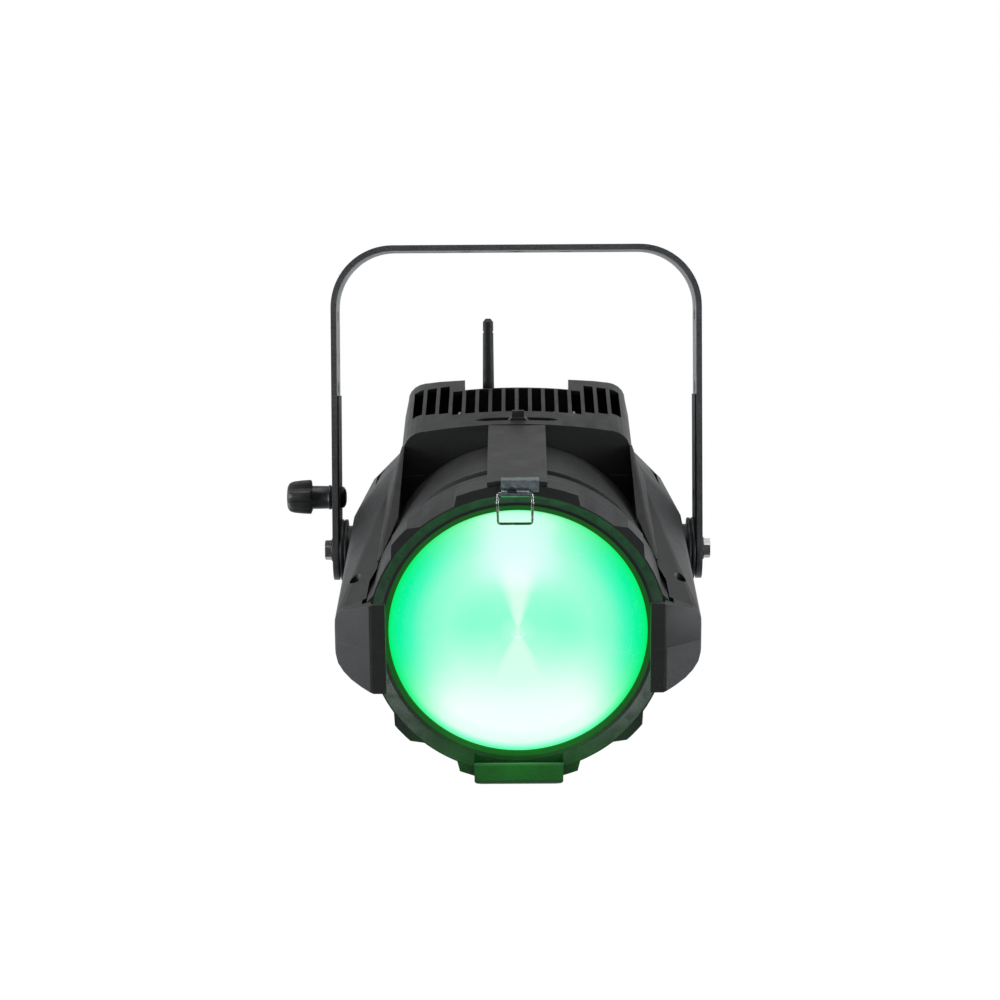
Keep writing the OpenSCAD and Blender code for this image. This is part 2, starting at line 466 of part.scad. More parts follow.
/* ---------- inside the head ---------- */
fin_p = 6.6;
module heat_sink() color([0.7, 0.72, 0.74]) {
  wbox(-66, 66, -6, -0.05, -66, 84);
  for (k = [0 : 19]) let (x = -9.5 * fin_p + k * fin_p) wbox(x - 0.9, x + 0.9, -52, -5.9, -64, 86);
}
module heat_pipes() color([0.75, 0.45, 0.3]) for (x = [-6, -4, -2, 2, 4, 6]) translate([x * fin_p, 0, 0]) {
  for (w = [-10, -38]) translate([0, -w, w == -10 ? -50 : -30]) cylinder(r = 2.3, h = w == -10 ? 132.4 : 112.4);
  translate([0, 24, 82.4]) rotate([90, 0, 90]) rotate_extrude(angle = 180) translate([14, 0]) circle(r = 2.3, $fn = 32);
}
module led_board() color([0.85, 0.87, 0.85]) rod(0, 0, 58, 0, 1.6);
module led_emitters() color([1, 0.95, 0.6]) {
  rod(0, 0, 3, 1.6, 4.2);
  for (n = [1 : 3], k = [0 : 6 * n - 1]) rod(16 * n * cos(60 * k / n), 16 * n * sin(60 * k / n), 3, 1.6, 4.2);
}
module light_chamber() color([0.95, 0.95, 0.95]) spin()
  polygon([[59, 1.7], [74, 1.7], [74, 3.2], [61.6, 3.2], [66, 38], [66, 42.2], [67.4, 42.2], [83.4, 124], [81.8, 124], [64, 43.7], [64, 36.4], [59, 3.2]]);
module diffuser() color([0.9, 1, 0.95, 0.5]) spin() polygon([[0, 38.4], [63.9, 38.4], [63.9, 40.6], [0, 41.4]]);
module bulkhead() color([0.3, 0.3, 0.3]) spin()
  polygon([[74.2, 0], [85.4, 0], [85.4, 21], [83.4, 21], [83.4, 2.4], [74.2, 2.4]]);
module fan_frame() color([0.04, 0.04, 0.04]) difference() {
  wbox(-40, 40, -80, -55, fan_z - 40, fan_z + 40);
  rod(0, fan_z, 38, -81, -54);
  for (x = [-35.5, 35.5], z = [-35.5, 35.5]) rod(x, fan_z + z, 2.15, -81, -54);
}
module fan_motor() color([0.06, 0.06, 0.06]) {
  rod(0, fan_z, 14, -80, -77);
  rod(0, fan_z, 2.4, -77.1, -60);
  for (a = [45 : 90 : 315]) translate([0, 0, fan_z]) rotate([0, a, 0]) wbox(13.5, 37.98, -80, -77.5, -1.6, 1.6);
}
module fan_rotor() color([0.08, 0.08, 0.08]) difference() {
  union() {
    rod(0, fan_z, 15, -76.4, -58);
    for (k = [0 : 6]) translate([0, 0, fan_z]) rotate([0, k * 360 / 7, 0]) translate([25.5, 67.2, 0]) rotate([38, 0, 0]) cube([23, 1.6, 17], center = true);
  }
  rod(0, fan_z, 2.46, -77, -59.4);
}
module power_supply() color([0.6, 0.6, 0.58]) difference() {
  wbox(-46, 46, -56, -1, -86, -70);
  for (k = [-5 : 5]) wbox(k * 7 - 1.5, k * 7 + 1.5, -44, 0, -71.5, -60);
}
module driver_board() color([0.1, 0.35, 0.2]) {
  wbox(70, 71.6, -78, 0, -44, 56);
  wbox(67.2, 70.1, -70, -56, -30, -10);
  for (z = [10, 26, 42]) translate([68, 68, z]) rotate([0, 90, 0]) translate([0, 0, -1]) cylinder(r = 5, h = 3.1);
}
module control_board() color([0.1, 0.35, 0.2]) {
  wbox(-40, 40, -91.2, -89.7, 20, 60);
  for (x = btn_x) wbox(x - 3, x + 3, -91.6, -91.1, 24, 30);
  wbox(-26, 26, -93.3, -91.1, 38, 56);
}
yoke();
arm_liners();
knob();
knob_washer();
knob_bolt();
pivot_bolts();
pivot_washers();
friction_discs();
pivot_bosses();
head() upper_shell();
head() lower_shell();
head() bottom_arm();
head() barrel();
head() front_bezel();
head() lens();
head() lens_gasket();
head() top_bridge();
head() latch_plate();
head() latch_tube();
head() wire_bail();
head() lock_slider();
head() slider_track();
head() antenna();
head() antenna_knuckle();
head() antenna_base();
head() rear_panel();
head() display_window();
head() menu_buttons(0);  // menu_buttons_a
head() menu_buttons(1);  // menu_buttons_b
head() menu_buttons(2);  // menu_buttons_c
head() menu_buttons(3);  // menu_buttons_d
head() data_sockets();
head() power_inlet();
head() power_outlet();
head() fuse_holder();
head() safety_loop();
head() heat_sink();
head() heat_pipes();
head() led_board();
head() led_emitters();
head() light_chamber();
head() diffuser();
head() fan_frame();
head() fan_rotor();
head() fan_motor();
head() power_supply();
head() driver_board();
head() control_board();
head() shell_screws();
head() panel_screws();
head() bulkhead();
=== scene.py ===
import bpy, bmesh, math, random
from mathutils import Vector, Matrix


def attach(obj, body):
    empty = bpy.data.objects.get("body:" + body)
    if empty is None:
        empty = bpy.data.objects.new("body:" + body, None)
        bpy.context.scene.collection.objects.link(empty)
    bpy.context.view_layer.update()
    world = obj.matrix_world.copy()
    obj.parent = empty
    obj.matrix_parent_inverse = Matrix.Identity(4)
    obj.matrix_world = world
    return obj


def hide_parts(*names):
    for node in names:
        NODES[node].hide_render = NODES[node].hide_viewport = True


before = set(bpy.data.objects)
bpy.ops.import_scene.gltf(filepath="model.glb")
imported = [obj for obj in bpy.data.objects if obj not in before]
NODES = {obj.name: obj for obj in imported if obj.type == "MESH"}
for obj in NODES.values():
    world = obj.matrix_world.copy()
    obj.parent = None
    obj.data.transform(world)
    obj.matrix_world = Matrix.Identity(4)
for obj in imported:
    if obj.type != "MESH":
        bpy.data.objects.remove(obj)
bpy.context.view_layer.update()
scene = bpy.context.scene
rad = math.radians

# ------------------------------------------------------------------ frames
TILT = rad(17.1)
# optical-axis space (X right, -Y forward along the axis, Z up) to the row frame, in metres
HEAD = Matrix.Translation((0, 0, -0.212)) @ Matrix.Rotation(TILT, 4, "X") @ Matrix.Translation((0, 0, -0.006))


def hp(x, w, z):
    """millimetres in optical-axis space to a point in the row frame"""
    return HEAD @ Vector((x / 1000, -w / 1000, z / 1000))


def srgb(r, g, b, a=1.0):
    def f(c):
        c /= 255.0
        return c / 12.92 if c <= 0.04045 else ((c + 0.055) / 1.055) ** 2.4
    return (f(r), f(g), f(b), a)


# ------------------------------------------------------------------ node helpers
class Net:
    def __init__(self, name):
        self.m = bpy.data.materials.new(name)
        self.m.use_nodes = True
        self.t = self.m.node_tree
        self.t.nodes.clear()
        self.out = self.t.nodes.new("ShaderNodeOutputMaterial")
        self.co = self.t.nodes.new("ShaderNodeTexCoord").outputs["Object"]

    def n(self, kind, **kw):
        node = self.t.nodes.new("ShaderNode" + kind)
        for k, v in kw.items():
            setattr(node, k, v)
        return node

    def put(self, sock, v):
        if hasattr(v, "is_output") or isinstance(v, bpy.types.NodeSocket):
            self.t.links.new(v, sock)
        else:
            sock.default_value = v

    def math(self, op, a, b=0.0, c=0.0, clamp=False):
        node = self.n("Math", operation=op, use_clamp=clamp)
        for i, v in enumerate((a, b, c)):
            self.put(node.inputs[i], v)
        return node.outputs[0]

    def vmath(self, op, a, b=(0, 0, 0)):
        node = self.n("VectorMath", operation=op)
        self.put(node.inputs[0], a)
        self.put(node.inputs[1], b)
        return node.outputs[0]

    def noise(self, scale, detail=3.0, rough=0.5, co=None, dist=0.0):
        node = self.n("TexNoise")
        self.put(node.inputs["Vector"], co or self.co)
        node.inputs["Scale"].default_value = scale
        node.inputs["Detail"].default_value = detail
        node.inputs["Roughness"].default_value = rough
        node.inputs["Distortion"].default_value = dist
        return node.outputs["Fac"]

    def voronoi(self, scale, feature="F1", co=None, out="Distance"):
        node = self.n("TexVoronoi", feature=feature)
        self.put(node.inputs["Vector"], co or self.co)
        node.inputs["Scale"].default_value = scale
        return node.outputs[out]

    def map(self, v, a, b, c=0.0, d=1.0, smooth=False):
        node = self.n("MapRange", interpolation_type="SMOOTHSTEP" if smooth else "LINEAR")
        for i, x in enumerate((v, a, b, c, d)):
            self.put(node.inputs[i], x)
        return node.outputs[0]

    def mix(self, f, a, b, blend="MIX"):
        node = self.n("Mix", data_type="RGBA", blend_type=blend)
        self.put(node.inputs[0], f)
        self.put(node.inputs[6], a)
        self.put(node.inputs[7], b)
        return node.outputs[2]

    def ramp(self, v, stops, interp="LINEAR"):
        node = self.n("ValToRGB")
        self.put(node.inputs[0], v)
        cr = node.color_ramp
        cr.interpolation = interp
        while len(cr.elements) > 1:
            cr.elements.remove(cr.elements[-1])
        cr.elements[0].position, cr.elements[0].color = stops[0]
        for p, c in stops[1:]:
            e = cr.elements.new(p)
            e.color = c
        return node.outputs[0]

    def bump(self, h, strength, dist, normal=None):
        node = self.n("Bump")
        node.inputs["Strength"].default_value = strength
        node.inputs["Distance"].default_value = dist
        self.put(node.inputs["Height"], h)
        if normal is not None:
            self.put(node.inputs["Normal"], normal)
        return node.outputs[0]


def surface(name, c0, c1, rough=(0.4, 0.55), patch=26.0, grain=None, bumps=(), metallic=0.0, spec=0.5, coat=0.0,
            coat_rough=0.1, speck=None, edge=None, streak=None, dust=None):
    """One procedural finish: colour patches, fine grain, roughness breakup, bumps, optional specks, worn edges, brushing."""
    k = Net(name)
    col = k.mix(k.map(k.noise(patch, 4, 0.6), 0.3, 0.7, smooth=True), c0, c1)
    if grain:
        scale, amount = grain
        g = k.noise(scale, 3, 0.65)
        col = k.mix(k.map(g, 0.3, 0.72), k.mix(1.0, col, (1 - amount, 1 - amount, 1 - amount, 1), "MULTIPLY"),
                    k.mix(1.0, col, (1 + amount, 1 + amount, 1 + amount, 1), "MULTIPLY"))
    rf = k.map(k.noise(patch * 2.3, 4, 0.6), 0.3, 0.7, rough[0], rough[1])
    if speck:
        sc, scale, lo, hi = speck
        s = k.map(k.noise(scale, 2, 0.6), lo, hi, smooth=True)
        col = k.mix(s, col, sc)
    if streak:
        sx, amount = streak
        m = k.n("Mapping")
        k.put(m.inputs[0], k.co)
        m.inputs["Scale"].default_value = sx
        st = k.noise(1.0, 4, 0.6, co=m.outputs[0])
        col = k.mix(k.map(st, 0.3, 0.7, 0.0, amount), col, k.mix(1.0, col, (1.5, 1.5, 1.5, 1), "MULTIPLY"))
        rf = k.math("ADD", rf, k.map(st, 0.3, 0.7, -0.06, 0.08))
    if edge:
        ec, width, amount = edge
        b = k.n("Bevel")
        b.samples = 4
        b.inputs["Radius"].default_value = width
        g = k.n("NewGeometry")
        d = k.n("VectorMath", operation="DOT_PRODUCT")
        k.put(d.inputs[0], b.outputs[0])
        k.put(d.inputs[1], g.outputs["Normal"])
        e = k.map(d.outputs["Value"], 0.99, 0.80, smooth=True)
        e = k.math("MULTIPLY", e, k.map(k.noise(90, 4, 0.7), 0.42, 0.6, 0.15, 1.0, smooth=True))
        e = k.math("MULTIPLY", e, amount, clamp=True)
        col = k.mix(e, col, ec)
        rf = k.math("SUBTRACT", rf, k.math("MULTIPLY", e, 0.12))
    if dust:
        dc, amount = dust
        g2 = k.n("NewGeometry")
        sep = k.n("SeparateXYZ")
        k.put(sep.inputs[0], g2.outputs["Normal"])
        up = k.map(sep.outputs[2], 0.55, 1.0, smooth=True)
        dn = k.math("MULTIPLY", up, k.map(k.noise(60, 5, 0.7), 0.4, 0.75, 0.2, 1.0, smooth=True))
        col = k.mix(k.math("MULTIPLY", dn, amount), col, dc)
    nrm = None
    for kind, scale, strength, dist in bumps:
        h = k.voronoi(scale) if kind == "v" else k.noise(scale, 4, 0.6)
        nrm = k.bump(h, strength, dist, nrm)
    p = k.n("BsdfPrincipled")
    k.put(p.inputs["Base Color"], col)
    k.put(p.inputs["Roughness"], rf)
    p.inputs["Metallic"].default_value = metallic
    p.inputs["Specular IOR Level"].default_value = spec
    p.inputs["Coat Weight"].default_value = coat
    p.inputs["Coat Roughness"].default_value = coat_rough
    if nrm is not None:
        k.put(p.inputs["Normal"], nrm)
    k.t.links.new(p.outputs[0], k.out.inputs[0])
    return k.m


G = lambda v: (v, v, v, 1.0)

# ------------------------------------------------------------------ finishes
CASE = surface("case_paint", (0.0205, 0.0205, 0.0200, 1), (0.0275, 0.0275, 0.0268, 1), rough=(0.46, 0.58), patch=24,
               grain=(1500, 0.42), bumps=(("n", 1500, 0.55, 0.00022), ("n", 420, 0.25, 0.0002)), spec=0.5,
               edge=((0.085, 0.085, 0.083, 1), 0.0007, 0.55), dust=((0.10, 0.10, 0.095, 1), 0.16))
BEZEL = surface("bezel_paint", (0.0170, 0.0172, 0.0170, 1), (0.0240, 0.0242, 0.0240, 1), rough=(0.42, 0.54), patch=30,
                grain=(1600, 0.38), bumps=(("n", 1600, 0.5, 0.0002),), edge=((0.075, 0.077, 0.073, 1), 0.0006, 0.6))
YOKE = surface("yoke_paint", (0.058, 0.060, 0.062, 1), (0.082, 0.085, 0.088, 1), rough=(0.34, 0.48), patch=40,
               grain=(900, 0.5), bumps=(("n", 900, 0.55, 0.0003), ("v", 700, 0.2, 0.0002)),
               speck=((0.10, 0.11, 0.12, 1), 1300, 0.62, 0.74), edge=((0.12, 0.125, 0.13, 1), 0.0008, 0.6))
LINER = surface("liner_rubber", (0.010, 0.010, 0.0105, 1), (0.015, 0.015, 0.015, 1), rough=(0.6, 0.75), grain=(1200, 0.3),
                bumps=(("n", 1100, 0.3, 0.0001),))
KNOBM = surface("knob_plastic", (0.026, 0.0255, 0.024, 1), (0.037, 0.036, 0.033, 1), rough=(0.42, 0.55), patch=70,
                grain=(2200, 0.25), bumps=(("n", 2200, 0.35, 0.0001),), edge=((0.10, 0.095, 0.088, 1), 0.0007, 0.4))
HUB = surface("hub_plastic", (0.016, 0.0175, 0.022, 1), (0.022, 0.024, 0.030, 1), rough=(0.3, 0.42), patch=90,
              bumps=(("n", 2400, 0.2, 0.00008),))
BLACKBOLT = surface("black_bolt", (0.012, 0.010, 0.009, 1), (0.022, 0.019, 0.017, 1), rough=(0.22, 0.36), patch=120,
                    metallic=0.6, bumps=(("n", 900, 0.15, 0.0001),), edge=((0.3, 0.28, 0.26, 1), 0.0006, 0.6))
STEEL = surface("bright_steel", (0.34, 0.34, 0.325, 1), (0.46, 0.455, 0.44, 1), rough=(0.24, 0.42), patch=160,
                metallic=1.0, bumps=(("n", 1800, 0.2, 0.00008),), speck=((0.16, 0.15, 0.13, 1), 700, 0.62, 0.75),
                edge=((0.7, 0.7, 0.68, 1), 0.0005, 0.6))
DARKWASH = surface("washer_steel", (0.05, 0.05, 0.052, 1), (0.09, 0.09, 0.09, 1), rough=(0.3, 0.45), patch=120,
                   metallic=0.8, bumps=(("n", 1500, 0.2, 0.0001),))
DISC = surface("friction_disc", (0.011, 0.012, 0.013, 1), (0.018, 0.019, 0.020, 1), rough=(0.38, 0.52), patch=60,
               grain=(1400, 0.3), bumps=(("n", 1500, 0.25, 0.0001),))
GALV = surface("latch_zinc", (0.15, 0.185, 0.195, 1), (0.24, 0.285, 0.295, 1), rough=(0.32, 0.5), patch=260,
               metallic=0.75, grain=(1500, 0.35), speck=((0.07, 0.10, 0.11, 1), 900, 0.58, 0.7),
               bumps=(("v", 900, 0.25, 0.00012),), edge=((0.5, 0.52, 0.52, 1), 0.0004, 0.5))
WIRE = surface("wire_steel", (0.20, 0.205, 0.20, 1), (0.34, 0.345, 0.335, 1), rough=(0.2, 0.32), patch=200, metallic=1.0,
               bumps=(("n", 1500, 0.15, 0.0001),))
SLIDER = surface("slider_plastic", (0.011, 0.011, 0.0105, 1), (0.017, 0.017, 0.016, 1), rough=(0.36, 0.5), patch=120,
                 grain=(1800, 0.3), bumps=(("n", 1800, 0.3, 0.0001),), edge=((0.05, 0.05, 0.048, 1), 0.0005, 0.5))
RUBBER = surface("antenna_rubber", (0.019, 0.0185, 0.018, 1), (0.030, 0.029, 0.028, 1), rough=(0.5, 0.64), patch=70,
                 grain=(2000, 0.22), bumps=(("n", 2000, 0.3, 0.00009),))
GASKET = surface("gasket_rubber", (0.007, 0.008, 0.007, 1), (0.012, 0.013, 0.012, 1), rough=(0.45, 0.6),
                 bumps=(("n", 1200, 0.2, 0.0001),))
for nd in GASKET.node_tree.nodes:
    if nd.type == "BSDF_PRINCIPLED":   # painted light: a green glow on the seal stands in for the lens light falling on it
        nd.inputs["Emission Color"].default_value = (0.0, 0.085, 0.002, 1)
        nd.inputs["Emission Strength"].default_value = 1.0
BRASS = surface("nut_brass", (0.45, 0.33, 0.13, 1), (0.58, 0.45, 0.20, 1), rough=(0.22, 0.36), patch=180, metallic=1.0,
                bumps=(("n", 1400, 0.2, 0.0001),))
PANEL = surface("panel_paint", (0.013, 0.013, 0.0135, 1), (0.019, 0.019, 0.0195, 1), rough=(0.5, 0.62), patch=30,
                grain=(1500, 0.35), bumps=(("n", 1500, 0.45, 0.0002),), edge=((0.08, 0.08, 0.08, 1), 0.0005, 0.5))
GLASS = surface("display_glass", (0.006, 0.010, 0.016, 1), (0.010, 0.017, 0.026, 1), rough=(0.06, 0.14), patch=60,
                coat=0.6, coat_rough=0.05, bumps=(("n", 300, 0.03, 0.0001),))
BUTTON = surface("button_rubber", (0.045, 0.046, 0.048, 1), (0.062, 0.063, 0.065, 1), rough=(0.5, 0.65), patch=120,
                 grain=(2200, 0.2), bumps=(("n", 2200, 0.25, 0.00008),))
NICKEL = surface("socket_nickel", (0.36, 0.36, 0.35, 1), (0.48, 0.475, 0.46, 1), rough=(0.25, 0.4), patch=140,
                 metallic=1.0, bumps=(("n", 1300, 0.2, 0.0001),), edge=((0.7, 0.7, 0.7, 1), 0.0005, 0.5))
BLUE = surface("inlet_blue", (0.016, 0.060, 0.23, 1), (0.022, 0.078, 0.29, 1), rough=(0.36, 0.48), patch=110,
               grain=(2000, 0.15), bumps=(("n", 2000, 0.25, 0.0001),))
PALE = surface("outlet_grey", (0.33, 0.33, 0.32, 1), (0.42, 0.42, 0.41, 1), rough=(0.4, 0.52), patch=110,
               grain=(2000, 0.12), bumps=(("n", 2000, 0.25, 0.0001),))
FUSE = surface("fuse_plastic", (0.012, 0.012, 0.012, 1), (0.019, 0.019, 0.019, 1), rough=(0.3, 0.42), patch=110,
               bumps=(("n", 1700, 0.2, 0.0001),))
ZINC = surface("zinc_steel", (0.33, 0.34, 0.35, 1), (0.47, 0.48, 0.49, 1), rough=(0.3, 0.48), patch=90, metallic=1.0,
               speck=((0.2, 0.2, 0.2, 1), 260, 0.55, 0.7), bumps=(("v", 400, 0.12, 0.0001),))
FINS = surface("fin_aluminium", (0.30, 0.335, 0.375, 1), (0.42, 0.46, 0.50, 1), rough=(0.28, 0.42), patch=50,
               metallic=0.9, streak=((60, 60, 900), 0.5), bumps=(("n", 1200, 0.12, 0.0001),))
COPPER = surface("pipe_nickel", (0.34, 0.36, 0.40, 1), (0.46, 0.48, 0.52, 1), rough=(0.2, 0.34), patch=80, metallic=1.0,
                 bumps=(("n", 900, 0.15, 0.0001),))
CHAMBER = surface("chamber_white", (0.72, 0.73, 0.72, 1), (0.82, 0.83, 0.82, 1), rough=(0.3, 0.4), patch=40,
                  bumps=(("n", 900, 0.1, 0.0001),))
FANP = surface("fan_plastic", (0.010, 0.010, 0.011, 1), (0.016, 0.016, 0.017, 1), rough=(0.35, 0.5), patch=60,
               bumps=(("n", 1500, 0.2, 0.0001),))
SCREW = surface("black_screw", (0.02, 0.02, 0.02, 1), (0.04, 0.04, 0.038, 1), rough=(0.25, 0.4), patch=200, metallic=0.7,
                bumps=(("n", 1500, 0.2, 0.0001),))
ALU = surface("plain_aluminium", (0.30, 0.30, 0.30, 1), (0.40, 0.40, 0.40, 1), rough=(0.35, 0.5), patch=50, metallic=0.9,
              streak=((300, 40, 40), 0.4), bumps=(("n", 1000, 0.15, 0.0001),))


def board(name, base):
    """Circuit board: solder mask with paler traces and pads"""
    k = Net(name)
    cells = k.n("TexBrick")
    k.put(cells.inputs["Vector"], k.co)
    cells.inputs["Scale"].default_value = 160
    cells.inputs["Mortar Size"].default_value = 0.03
    cells.inputs["Color1"].default_value = base
    cells.inputs["Color2"].default_value = tuple(c * 0.8 for c in base[:3]) + (1,)
    cells.inputs["Mortar"].default_value = tuple(min(1, c * 1.9) for c in base[:3]) + (1,)
    pads = k.map(k.voronoi(420), 0.16, 0.12)
    col = k.mix(pads, cells.outputs[0], (0.55, 0.50, 0.36, 1))
    col = k.mix(k.map(k.noise(60, 3), 0.3, 0.7, 0, 0.35), col, base)
    p = k.n("BsdfPrincipled")
    k.put(p.inputs["Base Color"], col)
    k.put(p.inputs["Roughness"], k.map(k.noise(90, 3), 0.3, 0.7, 0.28, 0.45))
    k.put(p.inputs["Normal"], k.bump(k.voronoi(420), 0.2, 0.0002))
    k.t.links.new(p.outputs[0], k.out.inputs[0])
    return k.m


PCB = board("board_green", (0.020, 0.10, 0.045, 1))
PCBW = board("board_white", (0.62, 0.63, 0.60, 1))


def glow(name, col, strength, base=(0.8, 0.9, 0.85, 1)):
    k = Net(name)
    p = k.n("BsdfPrincipled")
    c = k.mix(k.map(k.noise(120, 3), 0.3, 0.7), base, tuple(x * 0.85 for x in base[:3]) + (1,))
    k.put(p.inputs["Base Color"], c)
    k.put(p.inputs["Emission Color"], k.mix(k.map(k.noise(140, 3), 0.3, 0.7), col, tuple(x * 0.8 for x in col[:3]) + (1,)))
    p.inputs["Emission Strength"].default_value = strength
    k.put(p.inputs["Roughness"], k.map(k.noise(200, 3), 0.3, 0.7, 0.2, 0.4))
    k.put(p.inputs["Normal"], k.bump(k.noise(500), 0.1, 0.0001))
    k.t.links.new(p.outputs[0], k.out.inputs[0])
    return k.m


LEDS = glow("led_glow", (0.1, 1.0, 0.4, 1), 3.0)
DIFF = glow("diffuser_glow", (0.25, 1.0, 0.55, 1), 1.2)


def lens_material():
    """Lit frosted lens: greener at the sides, nearly white above and below the centre, a bright hourglass at the middle
    that is a painted highlight, a thin saturated rim, fine scratches and dust."""
    k = Net("lens_lit")
    # row frame to optical-axis space
    v = k.vmath("ADD", k.co, (0, 0, 0.212))
    r = k.n("VectorRotate", rotation_type="X_AXIS")
    k.put(r.inputs["Vector"], v)
    r.inputs["Angle"].default_value = -TILT
    v = k.vmath("ADD", r.outputs[0], (0, 0, 0.006))
    v = k.vmath("MULTIPLY", v, (1 / 0.0865, 1 / 0.0865, 1 / 0.0865))
    sep = k.n("SeparateXYZ")
    k.put(sep.inputs[0], v)
    X, Z = sep.outputs[0], sep.outputs[2]
    flat = k.n("CombineXYZ")
    k.put(flat.inputs[0], X)
    k.put(flat.inputs[2], Z)
    ln = k.n("VectorMath", operation="LENGTH")
    k.put(ln.inputs[0], flat.outputs[0])
    rr = ln.outputs["Value"]
    rr1 = k.math("MAXIMUM", rr, 0.0008)
    sn = k.math("DIVIDE", Z, rr1)          # sine of the angle from the right
    ax = k.math("ABSOLUTE", k.math("DIVIDE", X, rr1))
    # colour along a sideways radius
    S = [(0.0, (205, 253, 232)), (0.05, (170, 253, 220)), (0.15, (140, 253, 208)), (0.35, (134, 254, 208)), (0.55, (150, 254, 214)),
         (0.70, (128, 252, 205)), (0.82, (60, 250, 186)), (0.90, (4, 247, 162)), (0.965, (3, 244, 134)), (1.0, (0, 240, 60))]
    side = k.ramp(rr, [(p, srgb(*c)) for p, c in S], "LINEAR")
    # along the lower radius, and the upper one
    Lo = [(0.0, (210, 253, 232)), (0.12, (226, 253, 240)), (0.35, (232, 254, 246)), (0.6, (240, 254, 251)), (0.80, (244, 254, 253)),
          (0.92, (226, 253, 243)), (0.965, (130, 250, 205)), (1.0, (0, 245, 90))]
    low = k.ramp(rr, [(p, srgb(*c)) for p, c in Lo])
    Up = [(0.0, (205, 253, 232)), (0.12, (222, 254, 238)), (0.45, (228, 254, 241)), (0.72, (214, 254, 235)), (0.88, (206, 254, 232)),
          (0.95, (190, 253, 226)), (0.985, (140, 253, 190)), (1.0, (20, 250, 90))]
    upc = k.ramp(rr, [(p, srgb(*c)) for p, c in Up])
    # lower white field: everything under a soft curved edge
    n1 = k.noise(1.6, 3, 0.5, co=v)
    edge = k.math("ADD", Z, k.math("MULTIPLY", k.math("SUBTRACT", n1, 0.5), 0.25))
    edge = k.math("ADD", edge, k.math("MULTIPLY", k.math("MULTIPLY", X, X), 0.12))
    lowf = k.map(edge, 0.12, -0.66, smooth=True)
    lowf = k.math("MULTIPLY", lowf, k.map(k.math("ABSOLUTE", X), 1.0, 0.45, 0.0, 1.0, smooth=True))
    # upper pale field
    topf = k.math("MULTIPLY", k.map(Z, 0.0, 0.95, 0, 0.72, smooth=True), k.map(k.math("ABSOLUTE", X), 0.85, 0.05, smooth=True))
    # painted highlight: hourglass through the centre
    wob = k.math("MULTIPLY", k.math("SUBTRACT", k.noise(3.0, 2, 0.5, co=v), 0.5), 0.10)
    cone = k.map(k.math("ADD", ax, wob), 0.42, 0.10, smooth=True)
    cone_up = k.math("MULTIPLY", cone, k.map(sn, 0.0, 0.2))
    cone_up = k.math("MULTIPLY", cone_up, k.map(rr, 0.75, 0.35, 0.25, 0.85, smooth=True))
    cone_dn = k.map(k.math("ADD", ax, wob), 0.78, 0.35, smooth=True)
    cone_dn = k.math("MULTIPLY", k.math("MULTIPLY", cone_dn, k.map(sn, 0.0, -0.25)), 0.75)
    col = k.mix(topf, side, upc)
    col = k.mix(cone_up, col, upc)
    col = k.mix(k.math("MAXIMUM", lowf, cone_dn), col, low)
    # painted highlight: fine radial silk streaks near the middle
    ang = k.n("Math", operation="ARCTAN2")
    k.put(ang.inputs[0], Z)
    k.put(ang.inputs[1], X)
    rv = k.n("CombineXYZ")
    k.put(rv.inputs[0], k.math("MULTIPLY", ang.outputs[0], 22.0))
    k.put(rv.inputs[1], k.math("MULTIPLY", rr, 1.2))
    silk = k.noise(1.0, 3, 0.6, co=rv.outputs[0])
    silk = k.math("MULTIPLY", k.math("SUBTRACT", silk, 0.5), k.map(rr, 0.0, 0.45, 0.26, 0.0))
    # scratches: thin curved lines kept only where a second pattern is high
    warp = k.n("TexNoise")
    warp.inputs["Scale"].default_value = 1.1
    warp.inputs["Detail"].default_value = 1.0
    k.put(warp.inputs["Vector"], v)
    wv = k.vmath("ADD", v, k.vmath("MULTIPLY", warp.outputs["Color"], (0.9, 0.9, 0.9)))
    vd = k.n("TexVoronoi", feature="DISTANCE_TO_EDGE")
    vd.inputs["Scale"].default_value = 5.5
    k.put(vd.inputs["Vector"], wv)
    ln1 = k.map(vd.outputs["Distance"], 0.0, 0.010, 1.0, 0.0)
    keep = k.map(k.noise(4.2, 2, 0.5, co=v), 0.60, 0.66, smooth=True)
    scr = k.math("MULTIPLY", ln1, keep)
    dustm = k.map(k.voronoi(34, co=v), 0.10, 0.05)
    dustm = k.math("MULTIPLY", dustm, k.map(k.noise(7, 3, 0.6, co=v), 0.55, 0.7, smooth=True))
    mott = k.math("MULTIPLY", k.math("SUBTRACT", k.noise(38, 3, 0.7, co=v), 0.5), 0.10)
    lift = k.math("ADD", k.math("MULTIPLY", scr, 0.2), k.math("ADD", k.math("MULTIPLY", dustm, 0.22), k.math("ADD", silk, mott)))
    lift = k.math("MULTIPLY", lift, k.map(rr, 0.97, 0.93))
    pos = k.math("MAXIMUM", lift, 0.0)
    neg = k.math("MAXIMUM", k.math("MULTIPLY", lift, -1.0), 0.0)
    col = k.mix(pos, col, (0.85, 1, 0.93, 1))
    col = k.mix(neg, col, srgb(70, 248, 185))
    p = k.n("BsdfPrincipled")
    k.put(p.inputs["Base Color"], k.mix(0.9, col, (0.0, 0.02, 0.01, 1)))
    k.put(p.inputs["Roughness"], k.math("ADD", k.map(k.noise(40, 3, 0.6, co=v), 0.3, 0.7, 0.06, 0.13), k.math("MULTIPLY", scr, 0.3)))
    k.put(p.inputs["Emission Color"], col)
    p.inputs["Emission Strength"].default_value = 0.97
    k.put(p.inputs["Normal"], k.bump(k.math("ADD", scr, k.noise(55, 3, 0.6, co=v)), 0.12, 0.00008))
    k.t.links.new(p.outputs[0], k.out.inputs[0])
    return k.m


LENS = lens_material()

